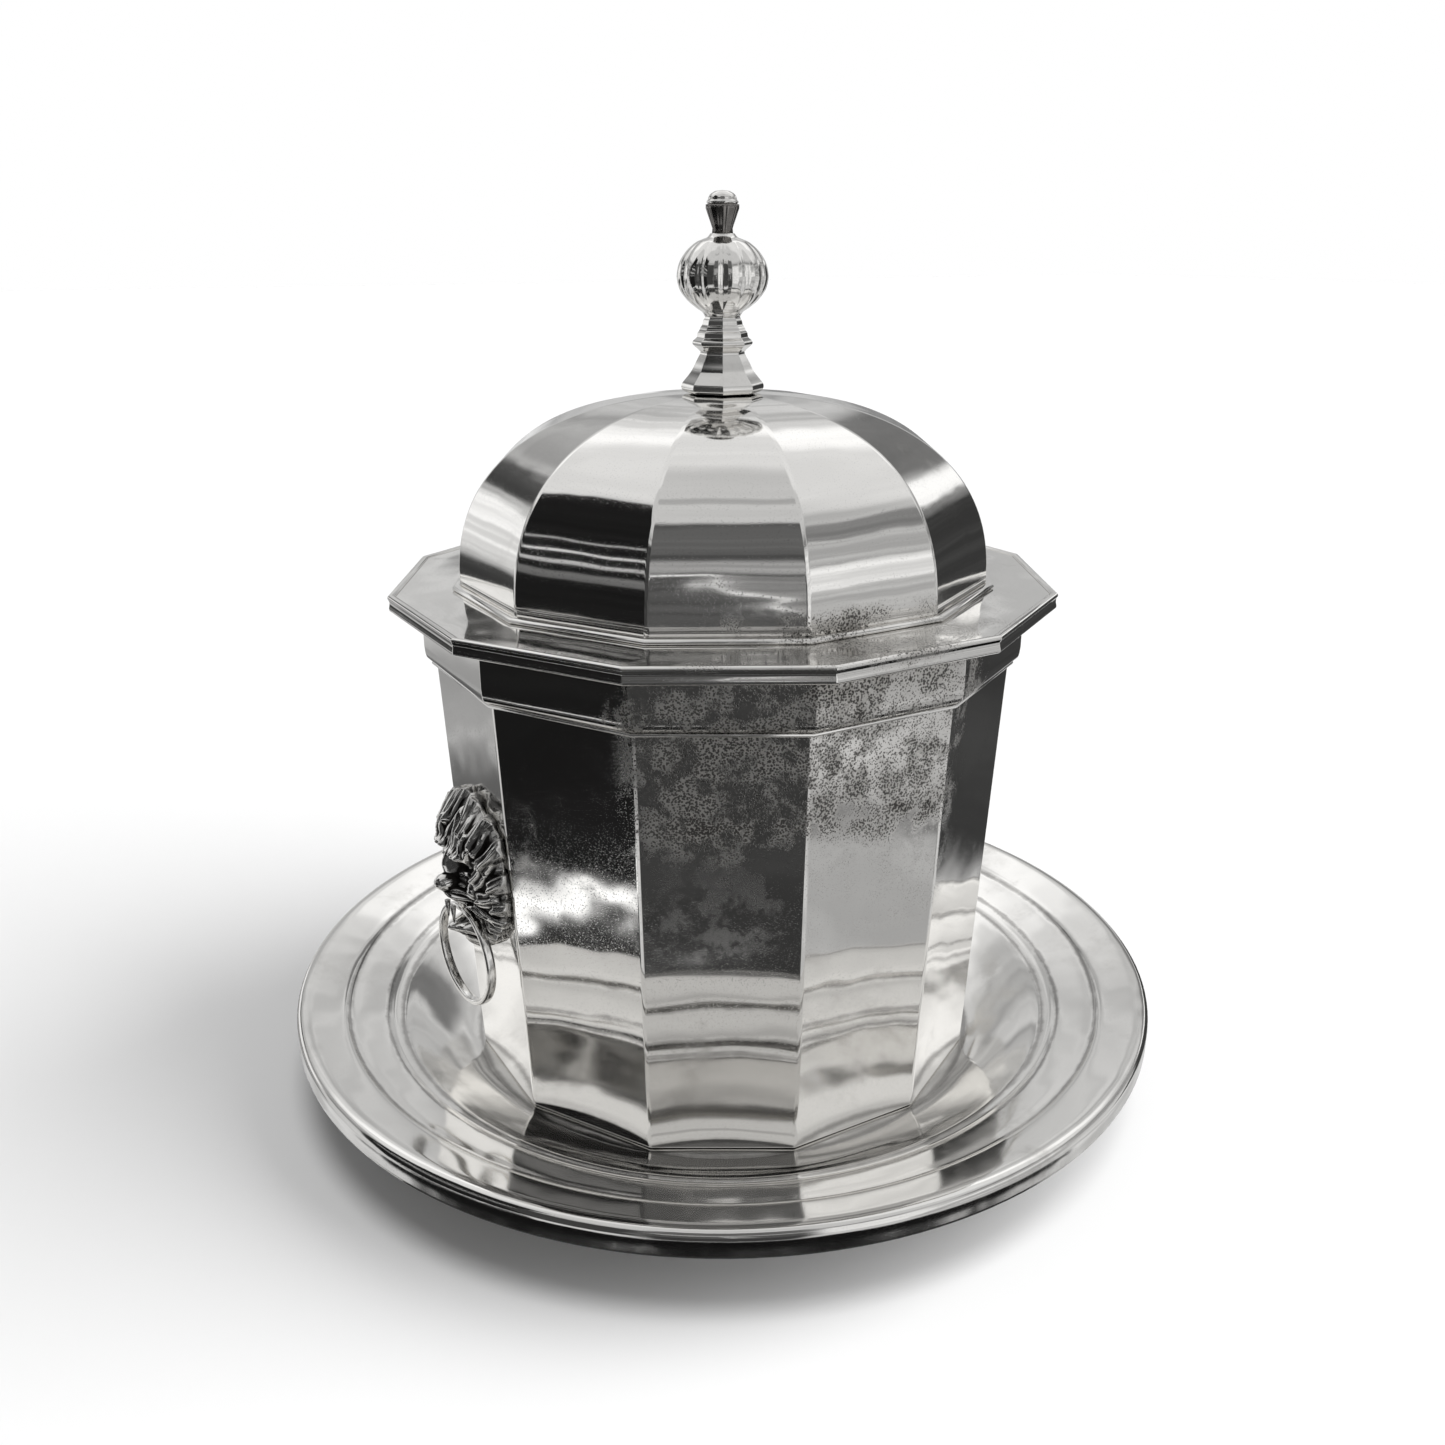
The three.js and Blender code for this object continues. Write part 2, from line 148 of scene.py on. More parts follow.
def silver(
    name,
    bright=(0.87, 0.86, 0.84),
    dull=(0.50, 0.48, 0.45),
    gloss=0.08,
    spread=0.3,
    spots=0.5,
    belts=(),
    grooves=(),
    waves=1.0,
):
    """Polished silver with cloudy dull patches, pitting and polishing scratches.

    spread is how much of the surface is clouded and spots is the strength of the pitting. Each
    belt (low, high, amount) is a band of heavier pitting between two heights in millimetres. It
    is heaviest on the side that has stood to the damp. Each groove (radius, half its width) holds
    a line of polish and dirt."""
    material = bpy.data.materials.new(name)
    recipe = Recipe(material)
    place = recipe.node("ShaderNodeTexCoord", output=3)
    height = recipe.node("ShaderNodeSeparateXYZ", {}, {0: place}, output=2)
    damp = recipe.node(
        "ShaderNodeVectorMath",
        {"operation": "DOT_PRODUCT"},
        {0: place, 1: (DAMP_SIDE[0] / MM, DAMP_SIDE[1] / MM, 0.0)},
        output=1,
    )
    clouds = recipe.noise(place, 38, 5, 0.62)
    mottle = recipe.noise(place, 190, 4, 0.62)
    specks = recipe.node("ShaderNodeTexVoronoi", {}, {"Vector": place, "Scale": 2300.0})
    grain = 0.45 * recipe.noise(place, 2100, 3, 0.75) + 0.55 * (1 - specks)
    haze = recipe.ease(clouds + 0.25 * mottle, 0.86 - spread * 0.5, 0.98 - spread * 0.3) * 0.5
    pitted = haze * 0.25
    for low, high, amount in belts:
        belt = recipe.ease(height + 0.012 * (clouds - 0.5), low * MM, (low + BELT_FADE) * MM)
        belt = belt * recipe.ease(height, (high - 4) * MM, high * MM, 1, 0)
        belt = belt * recipe.ease(damp, 46, 54, 0.06, 1.0) * amount
        pitted = pitted + belt * recipe.ease(clouds * 0.5 + mottle * 0.6, 0.42, 0.64, 0.35, 1.0)
    pitted = recipe.maths("MINIMUM", pitted, 1.0)
    dots = recipe.ease(grain + 0.22 * pitted + 0.14 * mottle, 0.68, 0.8) * spots
    dots = dots * recipe.ease(pitted, 0.03, 0.5, 0.12, 1.0)
    crossed = recipe.noise(recipe.stretch(place, (1, 1, 0.03), (0.5, 0.3, 0.2)), 4200, 2)
    along = recipe.noise(recipe.stretch(place, (0.04, 0.04, 1), (0.1, 0.06, 0.9)), 3600, 2)
    lines = recipe.ease(crossed, 0.64, 0.72) + recipe.ease(along, 0.64, 0.74)
    worn = recipe.maths("MINIMUM", haze * 0.5 + pitted * 0.6, 1.0)
    shade = recipe.blend(worn, bright, dull)
    shade = recipe.blend(dots * 0.88, shade, PIT_DIRT)
    flat = recipe.node("ShaderNodeVectorMath", {"operation": "MULTIPLY"}, {0: place, 1: (1, 1, 0)})
    radius = recipe.node("ShaderNodeVectorMath", {"operation": "LENGTH"}, {0: flat}, output=1)
    for middle, half in grooves:
        off = recipe.maths("ABSOLUTE", radius - middle * MM)
        dirt_and_shade = recipe.ease(off + 0.0016 * (mottle - 0.5), 0.0, half * MM, 0.5, 0.0)
        shade = recipe.blend(dirt_and_shade, shade, GROOVE_DIRT)
    rubbed = recipe.ease(mottle + 0.4 * (clouds - 0.5), 0.45, 0.57, 0.08, 0.62)
    rough = gloss + pitted * rubbed + haze * 0.08 + dots * 0.22 + lines * 0.02
    ripple = recipe.noise(place, 36, 2, 0.4)
    waved = recipe.bump(0.5 * waves, 0.0009, ripple)
    pits = dots * -0.00003
    relief = recipe.bump(0.6, 1.0, pits, waved)
    recipe.surface({"Base Color": shade, "Metallic": 1.0, "Roughness": rough, "Normal": relief})
    return material


def curve_through(points, steps=4):
    """The same line of points made smooth, with steps spans for each one before."""
    line = []
    for i in range(len(points) - 1):
        before = Vector(points[max(i - 1, 0)])
        a = Vector(points[i])
        b = Vector(points[i + 1])
        after = Vector(points[min(i + 2, len(points) - 1)])
        for k in range(steps):
            t = k / steps
            line.append(
                0.5 * (2 * a + (b - before) * t + (2 * before - 5 * a + 4 * b - after) * t * t)
                + 0.5 * (3 * a - before - 3 * b + after) * t * t * t
            )
    line.append(Vector(points[-1]))
    return [(p[0], p[1]) for p in line]


def sheet(line, thickness):
    """A closed section of even thickness whose upper face is the line, from the middle outwards."""
    under = []
    for i, (r, z) in enumerate(line):
        a = Vector(line[max(i - 1, 0)])
        b = Vector(line[min(i + 1, len(line) - 1)])
        side = (b - a).normalized() * thickness
        under.append((r + side[1], z - side[0]))
    return [*line, *reversed(under)]


def spin(section, sides, first=0.0):
    """Turns a closed section of (radius, height) in millimetres about the axis."""
    bm = bmesh.new()
    points = [
        bm.verts.new((r * math.cos(first) * MM, r * math.sin(first) * MM, z * MM)) for r, z in section
    ]
    edges = []
    for i in range(len(points)):
        j = (i + 1) % len(points)
        # an edge along the axis itself would spin to nothing
        if section[i][0] > MERGE or section[j][0] > MERGE:
            edges.append(bm.edges.new((points[i], points[j])))
    bmesh.ops.spin(
        bm,
        geom=[*points, *edges],
        cent=(0, 0, 0),
        axis=(0, 0, 1),
        angle=math.tau,
        steps=sides,
        use_merge=True,
    )
    bmesh.ops.remove_doubles(bm, verts=bm.verts, dist=MERGE * MM)
    bmesh.ops.dissolve_degenerate(bm, edges=bm.edges, dist=0.001 * MM)
    bmesh.ops.recalc_face_normals(bm, faces=bm.faces)
    return bm


def finish_piece(name, bm, material, body, nodes, round_off=0.0, corner=18, seams=False):
    """Makes the object, rounds its edges, and puts it on its body in place of its CAD nodes.

    With seams, only the edges that run up the sides are rounded."""
    for face in bm.faces:
        face.smooth = True
    if seams:
        weight = bm.edges.layers.float.new("bevel_weight_edge")
        for edge in bm.edges:
            a, b = (math.atan2(vert.co.y, vert.co.x) for vert in edge.verts)
            edge[weight] = 1.0 if abs(math.remainder(a - b, math.tau)) < 0.01 else 0.0
    mesh = bpy.data.meshes.new(name)
    bm.to_mesh(mesh)
    bm.free()
    piece = bpy.data.objects.new(name, mesh)
    bpy.context.scene.collection.objects.link(piece)
    mesh.materials.append(material)
    if round_off:
        bevel = piece.modifiers.new("rounding", "BEVEL")
        bevel.width = round_off * MM
        bevel.segments = 3
        bevel.limit_method = "WEIGHT" if seams else "ANGLE"
        bevel.angle_limit = math.radians(corner)
        bevel.harden_normals = True
        bevel.use_clamp_overlap = True
    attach(piece, body)
    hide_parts(*nodes)


def recoat(node, material):
    """Gives its own metal to a piece whose shape is left as it came."""
    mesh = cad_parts[node].data
    mesh.materials.clear()
    mesh.materials.append(material)


dish = curve_through(
    [
        (57.5, FOOT_Z),
        (60.4, FOOT_Z + 0.6),
        (64.3, FOOT_Z + 2.2),
        (68.2, FOOT_Z + 4.4),
        (71.1, FOOT_Z + 6.3),
        (73.0, FOOT_Z + 7.6),
        (74.1, FOOT_Z + 8.2),
        (75.9, FOOT_Z + 8.5),
        (77.0, FOOT_Z + 9.1),
        (78.3, FOOT_Z + 9.7),
        (82.9, FOOT_Z + 11.0),
        (85.4, FOOT_Z + 11.6),
        (86.5, FOOT_Z + 12.5),
        (87.9, FOOT_Z + 13.1),
        (92.4, FOOT_Z + 14.4),
        (94.3, FOOT_Z + 14.85),
        (95.7, FOOT_Z + 14.85),
        (96.5, FOOT_Z + 14.3),
        (STAND_R, FOOT_Z + 13.4),
        (STAND_R - 0.03, FOOT_Z + 11.8),
        (STAND_R - 0.03, FOOT_Z + 9.6),
    ]
)
dish = [(SCREW_HOLE_R, FOOT_Z), (30.0, FOOT_Z), (54.0, FOOT_Z), *dish]
stand_silver = silver(
    "stand_silver",
    gloss=0.09,
    spread=0.35,
    spots=0.5,
    grooves=[(74.3, 0.9), (77.6, 0.7), (85.7, 0.8), (57.2, 1.2)],
    waves=1.2,
)
finish_piece("stand_dish", spin(sheet(dish, SHEET), ROUND), stand_silver, "bowl", ["tray"])

foot_top = FOOT_Z - SHEET - GAP
foot_ring = [
    (47.8, foot_top),
    (47.8, foot_top - 1.0),
    (49.4, foot_top - 1.2),
    (49.4, 2.6),
    (49.2, 0.0),
    (53.4, 0.0),
    (53.4, 1.0),
    (51.4, 1.4),
    (50.6, 2.6),
    (50.6, foot_top - 1.2),
    (52.0, foot_top - 1.0),
    (52.0, foot_top),
]
finish_piece(
    "stand_foot",
    spin(foot_ring, ROUND),
    stand_silver,
    "bowl",
    ["tray_foot_ring"],
    round_off=0.2,
)
recoat("tray_edge_wire", stand_silver)


# ---- Bowl: twelve tapered panels of sheet silver that meet at crisp edges, soldered round a flat
# base. A plated screw with a washer and a nut holds the bowl down to the stand.
PANELS = 12  # sides of the bowl and of the lid
FIRST_CORNER = math.radians(15)
LINE_Z = 98.9  # the fine wire under the collar
BOWL_TOP_Z = 112.4
FOOT_R = 56.6
LINE_R = 61.2


def wall_radius(z):
    """Distance of a corner of the panels from the axis."""
    return FOOT_R + (LINE_R - FOOT_R) * (z - FOOT_Z) / (LINE_Z - FOOT_Z)


def panel_x(z):
    """Distance of the flat of a panel from the axis."""
    return wall_radius(z) * math.cos(math.pi / PANELS)


wall_low = FOOT_Z + 0.05  # a hair above the stand
wall = [
    (wall_radius(wall_low) - SHEET, wall_low),
    (wall_radius(wall_low), wall_low),
    (wall_radius(BOWL_TOP_Z), BOWL_TOP_Z),
    (wall_radius(BOWL_TOP_Z) - SHEET, BOWL_TOP_Z),
]
bowl_silver = silver(
    "bowl_silver", gloss=0.05, spread=0.25, spots=0.9, belts=[(72, 130, 0.8), (50, 84, 0.2)], waves=0.8
)
finish_piece(
    "bowl_panels",
    spin(wall, PANELS, FIRST_CORNER),
    bowl_silver,
    "bowl",
    ["bowl_wall"],
    round_off=0.6,
)
inner_silver = silver("inner_silver", gloss=0.2, spread=0.6, spots=0.6)
plated_brass = silver(
    "plated_brass", (0.66, 0.60, 0.46), (0.38, 0.28, 0.15), gloss=0.22, spread=0.5, waves=0.3
)
recoat("bowl_base", inner_silver)
for part in ("screw", "washer", "nut"):
    recoat("centre_" + part, plated_brass)


# ---- Collar round the mouth: a strip of silver with an ovolo at its foot, soldered over the
# panels, and below it a fine drawn wire.
COLLAR_TOP_Z = BOWL_TOP_Z - 0.3
COLLAR_FIT = 0.32  # the solder between the collar and the panels
collar = [
    (wall_radius(LINE_Z + 1) + COLLAR_FIT, LINE_Z + 1.0),
    (62.1, LINE_Z + 0.9),
    *curve_through(
        [(62.55, LINE_Z + 1.0), (63.05, LINE_Z + 1.5), (63.35, LINE_Z + 2.4), (63.5, LINE_Z + 4.0)], 3
    ),
    (63.5, COLLAR_TOP_Z),
    (wall_radius(COLLAR_TOP_Z) + COLLAR_FIT, COLLAR_TOP_Z),
]
collar_silver = silver(
    "collar_silver", gloss=0.07, spread=0.4, spots=0.9, belts=[(80, 130, 0.7)], waves=0.7
)
finish_piece(
    "collar",
    spin(collar, PANELS, FIRST_CORNER),
    collar_silver,
    "bowl",
    ["rim_band"],
    round_off=0.25,
)
WIRE_R = 0.45
WIRE_SIDES = 12
fine_wire = [
    (61.75 + WIRE_R * math.cos(turn), LINE_Z + 0.3 + WIRE_R * math.sin(turn))
    for turn in [math.tau * k / WIRE_SIDES for k in range(WIRE_SIDES)]
]
finish_piece(
    "collar_wire",
    spin(fine_wire, PANELS, FIRST_CORNER),
    stand_silver,
    "bowl",
    ["band_wire"],
)


# ---- Masks: cast and chased lion heads in flame-like locks, darkened in the hollows by dirt and by
# painted shade. A stud on the back goes through the panel and is nutted inside.
MASK_Z = 57.5
MOUTH_Z = 50.5
MOUTH_T = MOUTH_Z - MASK_Z
# angle from the chin up to the top, and distance of the edge from the middle
OUTLINE = [
    (-90, 17.3),
    (-70, 15.0),
    (-45, 13.6),
    (-20, 14.8),
    (0, 15.0),
    (25, 16.3),
    (46, 20.2),
    (62, 18.2),
    (76, 18.2),
    (90, 19.2),
]


def reach_at(angle):
    """Distance of the mask's edge from its middle, the angle being 0 at the sides and 90 at the top."""
    folded = angle
    if abs(angle) > 90:
        folded = math.copysign(180, angle) - angle
    for (a, ra), (b, rb) in zip(OUTLINE, OUTLINE[1:]):
        if folded <= b:
            return ra + (rb - ra) * (folded - a) / (b - a)
    return OUTLINE[-1][1]


def bump(s, t, height, s0, t0, width, tall):
    """Height at s, t of a rounded swelling whose middle is at s0, t0."""
    return height * math.exp(-(((s - s0) / width) ** 2) - ((t - t0) / tall) ** 2)


def step(value, low, high):
    """0 below low, 1 above high, and a smooth change between them."""
    x = min(max((value - low) / (high - low), 0.0), 1.0)
    return x * x * (3 - 2 * x)


# rows of flame-like locks from the face outwards: start, length, count, shift and height
LOCK_ROWS = ((0.36, 0.40, 12, 0.0, 1.9), (0.60, 0.50, 17, 0.5, 1.9))


def mane(bearing, reach):
    """Height of the locks, the bearing going from 0 at the top to 180 degrees at the chin."""
    height = 0.0
    for start, length, count, shift, tall in LOCK_ROWS:
        # the cheeks are bare, so the locks start further out beside them
        u = (reach - start - 0.17 * math.exp(-(((bearing - 98) / 30) ** 2))) / length
        if 0 < u < 1:
            place = (bearing + 16 * u) * count / 360 + shift
            w = 2 * (place - math.floor(place)) - 1
            full = 1 - 0.6 * u**1.6
            crown = max(0.0, 1 - (abs(w) / full) ** 2.4)
            strands = 0.84 + 0.16 * math.cos(w / full * 7.5)
            height = max(height, tall * crown * strands * min(1.0, u * 5) * (1 - 0.35 * u))
    return height


def lion_relief(s, t, reach):
    """Height above the back of the mask, at s across and t up from its middle."""
    m = abs(s)
    hair = mane(math.degrees(math.atan2(m, t)), reach)
    h = 0.5 + 3.2 * (1 - reach**5) + hair * step(reach, 0.34, 0.5)
    crest = min(hair, 1.0)
    h += bump(m, t, 1.8, 5.5, 10.5, 3.2, 3.6) * (0.8 + 0.3 * crest)
    # forehead, cheeks and the bridge of the nose
    h += bump(m, t, 2.6, 0.0, 4.6, 6.0, 6.0)
    h += bump(m, t, 2.4, 0.0, 3.6, 1.5, 3.8)
    h += bump(m, t, 1.7, 6.6, -0.4, 2.0, 2.6)
    # brows over deep eyes with lids
    h += bump(m, t, 2.3, 3.7, 6.9, 2.8, 1.0)
    h -= bump(m, t, 3.1, 4.0, 3.9, 2.0, 1.7)
    h += bump(m, t, 1.9, 3.9, 3.8, 0.95, 0.85)
    h += bump(m, t, 0.8, 4.1, 2.2, 2.2, 0.45)
    h -= bump(m, t, 0.9, 1.4, 7.6, 0.5, 2.0)
    # ears
    h += bump(m, t, 1.9, 9.2, 8.2, 1.7, 1.9)
    h -= bump(m, t, 1.4, 9.1, 8.0, 0.8, 0.9)
    # muzzle with whisker folds, and a round nose on it
    muzzle = bump(m, t, 4.4, 0.0, -2.4, 3.6, 3.0)
    h += muzzle + bump(m, t, 1.5, 2.8, -3.2, 1.8, 1.5)
    h += 0.4 * math.sin(4.6 * (t + 0.16 * m)) * bump(m, t, 1.0, 4.2, -2.6, 2.6, 2.4)
    h -= bump(m, t, 0.9, 0.0, -4.1, 0.4, 1.2)
    off = math.hypot(s, t + 0.2)
    ball = 8.1 + 1.35 * math.sqrt(max(1.95**2 - off * off, 0.0))
    h = max(h, ball) if off < 1.95 else h
    # lower jaw and beard
    h += bump(m, t, 4.6, 0.0, -10.6, 2.6, 1.6)
    h += bump(m, t, 1.5, 0.0, -14.0, 3.4, 2.6) * (0.6 + 0.7 * crest)
    # clear space for the ring beside the jaw, then the open mouth it hangs in
    low = step(-t, 5.4, 7.0) * step(m, 4.0, 5.0)
    h = h * (1 - low) + min(h, 2.9) * low
    drop = MOUTH_T - 1.5 - 0.09 * m * m
    mouth = step(t, drop - 0.35, drop + 0.15) * (1 - step(t, MOUTH_T + 1.3, MOUTH_T + 1.75))
    mouth *= 1 - step(m, 5.0, 5.8)
    return h * (1 - mouth) + min(h, 3.6) * mouth


MASK_ACROSS = 140  # squares across the mask
SMOOTHINGS = 8
RIM_HIGHLIGHT_LEVEL = -0.015  # the rim is set a little lighter than the flats, a painted highlight along the outline, and the back a little darker
BACK_HOLLOW = 0.01
bm = bmesh.new()
bmesh.ops.create_grid(bm, x_segments=MASK_ACROSS, y_segments=MASK_ACROSS, size=1.0)
rim_edges = [edge for edge in bm.edges if edge.is_boundary]
relief_of = {}
edge_of = {}
for vert in bm.verts:
    x, y = vert.co.x, vert.co.y
    # the square grid drawn in to a round one, then out to the ragged outline
    round_x = x * math.sqrt(1 - y * y / 2)
    round_y = y * math.sqrt(1 - x * x / 2)
    reach = min(math.hypot(round_x, round_y), 1.0)
    angle = math.degrees(math.atan2(round_y, round_x)) if reach > 1e-6 else 0.0
    tip = min(mane(math.degrees(math.atan2(abs(round_x), round_y)), 0.98) / 0.8, 1.0)
    r = reach_at(angle) * reach * (1 - 0.07 * (1 - tip) * step(reach, 0.7, 1.0))
    s = r * math.cos(math.radians(angle))
    t = r * math.sin(math.radians(angle))
    h = lion_relief(s, t, reach)
    h += 0.1 * noise.noise((s * 0.6, t * 0.6, 3.0)) * min(reach * 2, 1)
    relief_of[vert.index] = h
    edge_of[vert.index] = step(reach, 0.84, 0.98)
    z = MASK_Z + t
    vert.co = Vector((panel_x(z) + GAP + h, s, z)) * MM
# how far each place lies below what is round it, for the dirt that polishing leaves and for painted shade
# in the hollows
hollow = bm.verts.layers.float.new("hollow")
level = dict(relief_of)
for _ in range(SMOOTHINGS):
    level = {
        vert.index: sum(level[edge.other_vert(vert).index] for edge in vert.link_edges)
        / len(vert.link_edges)
        for vert in bm.verts
    }
for vert in bm.verts:
    below = level[vert.index] - relief_of[vert.index]
    rim = edge_of[vert.index]
    # near the outline the set rim level takes over, a painted highlight along the edge
    vert[hollow] = below * (1 - rim) + RIM_HIGHLIGHT_LEVEL * rim
skirt = bmesh.ops.extrude_edge_only(bm, edges=rim_edges)
back = [item for item in skirt["geom"] if isinstance(item, bmesh.types.BMVert)]
for vert in back:
    vert.co.x = (panel_x(vert.co.z / MM) + GAP) * MM
    vert[hollow] = BACK_HOLLOW
back_edges = [item for item in skirt["geom"] if isinstance(item, bmesh.types.BMEdge) and item.is_boundary]
bmesh.ops.triangle_fill(bm, edges=back_edges, use_beauty=True)
bmesh.ops.remove_doubles(bm, verts=bm.verts, dist=MERGE * MM)
bmesh.ops.recalc_face_normals(bm, faces=bm.faces)
# two fangs that close the mouth in front of the ring
for side in (-1, 1):
    bmesh.ops.create_cone(
        bm,
        cap_ends=True,
        segments=14,
        radius1=0.2 * MM,
        radius2=0.62 * MM,
        depth=3.6 * MM,
        matrix=Matrix.Translation(
            Vector((panel_x(MOUTH_Z) + GAP + 8.0, 1.7 * side, MOUTH_Z - 0.1)) * MM
        ),
    )

lion = bpy.data.meshes.new("lion")
bm.to_mesh(lion)
bm.free()

cast_silver = bpy.data.materials.new("cast_silver")
recipe = Recipe(cast_silver)
place = recipe.node("ShaderNodeTexCoord", output=3)
depth = recipe.node("ShaderNodeAttribute", {"attribute_name": "hollow"}, output=2)
clouds = recipe.noise(place, 380, 4, 0.6)
grain = recipe.noise(place, 2400, 2, 0.7)
# painted shade: the deeper a place lies below its surroundings, the darker its colour, down to nearly
# black; part dirt, part shade
dirt_and_shade = recipe.ease(depth + 0.1 * (clouds - 0.5), -0.09, 0.1)
shade = recipe.blend(dirt_and_shade, (0.86, 0.85, 0.83), (0.025, 0.023, 0.021))
rough = 0.06 + 0.3 * dirt_and_shade + 0.06 * clouds
relief = recipe.bump(0.4, 0.00004, grain * 0.5 + clouds)
recipe.surface({"Base Color": shade, "Metallic": 1.0, "Roughness": rough, "Normal": relief})

SIDES = (("left", math.pi), ("right", 0.0))
for end, turn in SIDES:
    bm = bmesh.new()
    bm.from_mesh(lion)
    bmesh.ops.rotate(bm, verts=bm.verts, cent=(0, 0, 0), matrix=Matrix.Rotation(turn, 3, "Z"))
    finish_piece("lion_mask_" + end, bm, cast_silver, "bowl", ["mask_" + end])
    recoat("mask_stud_" + end, plated_brass)
    recoat("mask_nut_" + end, plated_brass)


# ---- Drop rings: a flat strap of cast silver bent to a circle and its ends soldered, with the
# edges rounded over. One hangs loose in the mouth of each mask.
MOUTH_X = 62.3
RING_YAW = math.radians(7.5)  # each hangs a little askew
RING_R = 10.7
ring_silver = silver("ring_silver", gloss=0.12, spread=0.45, spots=0.5, waves=0.2)
STRAP_THICK = 0.62  # half the thickness
STRAP_WIDE = 1.0  # half the width
STRAP_SIDES = 20
RING_SEGMENTS = 96


def squared(part):
    """Cosine or sine of a circle drawn out towards a rounded oblong."""
    return math.copysign(abs(part) ** 0.6, part)


strap = [
    (RING_R + STRAP_THICK * squared(math.cos(a)), STRAP_WIDE * squared(math.sin(a)))
    for a in [math.tau * (k + 0.5) / STRAP_SIDES for k in range(STRAP_SIDES)]
]
for end, turn in SIDES:
    bm = spin(strap, RING_SEGMENTS)
    bmesh.ops.rotate(bm, verts=bm.verts, cent=(0, 0, 0), matrix=Matrix.Rotation(math.pi / 2, 3, "Y"))
    bmesh.ops.rotate(bm, verts=bm.verts, cent=(0, 0, 0), matrix=Matrix.Rotation(RING_YAW, 3, "Z"))
    bmesh.ops.translate(bm, verts=bm.verts, vec=Vector((MOUTH_X, 0, MOUTH_Z - RING_R)) * MM)
    bmesh.ops.rotate(bm, verts=bm.verts, cent=(0, 0, 0), matrix=Matrix.Rotation(turn, 3, "Z"))
    finish_piece("drop_ring_" + end, bm, ring_silver, "ring_" + end, ["ring_" + end])


# ---- Lid flange: a flat twelve-sided plate of sheet silver with a moulded edge strip soldered
# round it. A locating rim inside keeps the lid on the bowl.
FLANGE_Z = 114.3
LID_TURN = FIRST_CORNER + math.radians(1.0)  # the lid sits a little turned on the bowl
lid_silver = silver(
    "lid_silver", gloss=0.06, spread=0.25, spots=0.9, belts=[(111.5, 121, 0.95)], waves=0.9
)
flange = [(50.8, FLANGE_Z), (57.0, FLANGE_Z)]
flange += curve_through(
    [(58.0, FLANGE_Z), (61.0, FLANGE_Z - 0.25), (65.0, FLANGE_Z - 0.45), (68.5, FLANGE_Z - 0.4)], 3
)
flange = sheet(flange, SHEET)
finish_piece(
    "flange_plate",
    spin(flange, PANELS, LID_TURN),
    lid_silver,
    "lid",
    ["lid_flange"],
    round_off=0.2,
)
edge_strip = [
    (68.55, FLANGE_Z - 0.45),
    (68.65, FLANGE_Z - 2.9),
    *curve_through(
        [
            (68.9, FLANGE_Z - 3.35),
            (69.3, FLANGE_Z - 3.5),
            (69.75, FLANGE_Z - 3.35),
            (69.95, FLANGE_Z - 2.9),
            (69.8, FLANGE_Z - 2.2),
            (69.75, FLANGE_Z - 1.5),
            (69.95, FLANGE_Z - 1.0),
            (70.1, FLANGE_Z - 0.6),
            (69.9, FLANGE_Z - 0.2),
            (69.4, FLANGE_Z - 0.02),
            (68.9, FLANGE_Z - 0.12),
        ],
        2,
    ),
]
finish_piece(
    "flange_edge_strip",
    spin(edge_strip, PANELS, LID_TURN),
    lid_silver,
    "lid",
    ["flange_edge"],
    round_off=0.2,
    corner=24,
)
recoat("lid_rim", inner_silver)


# ---- Dome: twelve gores of sheet silver, curved upwards only, that meet at crisp seams. A
# half-round bead covers the joint with the flange.
DOME_Z = 114.7
DOME_RISE = 37.4
DOME_R = 55.6
DOME_STEPS = 44
DOME_FULLNESS = 2.5  # 2 for an ellipse, more for fuller shoulders
STUD_HOLE_R = 2.2
dome_line = []
for k in range(DOME_STEPS + 1):
    turn = math.pi / 2 * (1 - k / DOME_STEPS)
    r = DOME_R * max(math.cos(turn), 1e-9) ** (2 / DOME_FULLNESS)
    rise = DOME_RISE * math.sin(turn) ** (2 / DOME_FULLNESS)
    dome_line.append((max(r, STUD_HOLE_R), DOME_Z + rise))
dome_line = [p for i, p in enumerate(dome_line) if i == 0 or p[0] > dome_line[i - 1][0] + 0.01]
finish_piece(
    "dome_gores",
    spin(sheet(dome_line, 1.1), PANELS, LID_TURN),
    lid_silver,
    "lid",
    ["lid_dome"],
    round_off=0.55,
    seams=True,
)
bead = [
    (55.5, FLANGE_Z + 0.05),
    *curve_through(
        [
            (56.9, FLANGE_Z + 0.05),
            (57.15, FLANGE_Z + 0.45),
            (56.8, FLANGE_Z + 0.95),
            (56.2, FLANGE_Z + 1.15),
            (55.5, FLANGE_Z + 1.1),
        ],
        3,
    ),
]
finish_piece(
    "dome_foot_bead",
    spin(bead, PANELS, LID_TURN),
    lid_silver,
    "lid",
    ["dome_bead"],
)


# ---- Finial: cast pieces threaded on one stud and nutted inside the dome. The foot and the
# baluster are eight-sided, the melon has twelve lobes, and a bud with a button ends it.
FINIAL_Z = 152.4
FACETS = 8
BORE = 1.9
finial_silver = silver("finial_silver", gloss=0.1, spread=0.4, spots=0.6, waves=0.15)
dark_silver = silver("dark_silver", (0.24, 0.23, 0.22), gloss=0.2, spread=0.1, spots=0.4, waves=0.1)


def threaded(line):
    """A closed section between the bore and a line of points from the bottom up."""
    return [(BORE, line[0][1]), *line, (BORE, line[-1][1])]


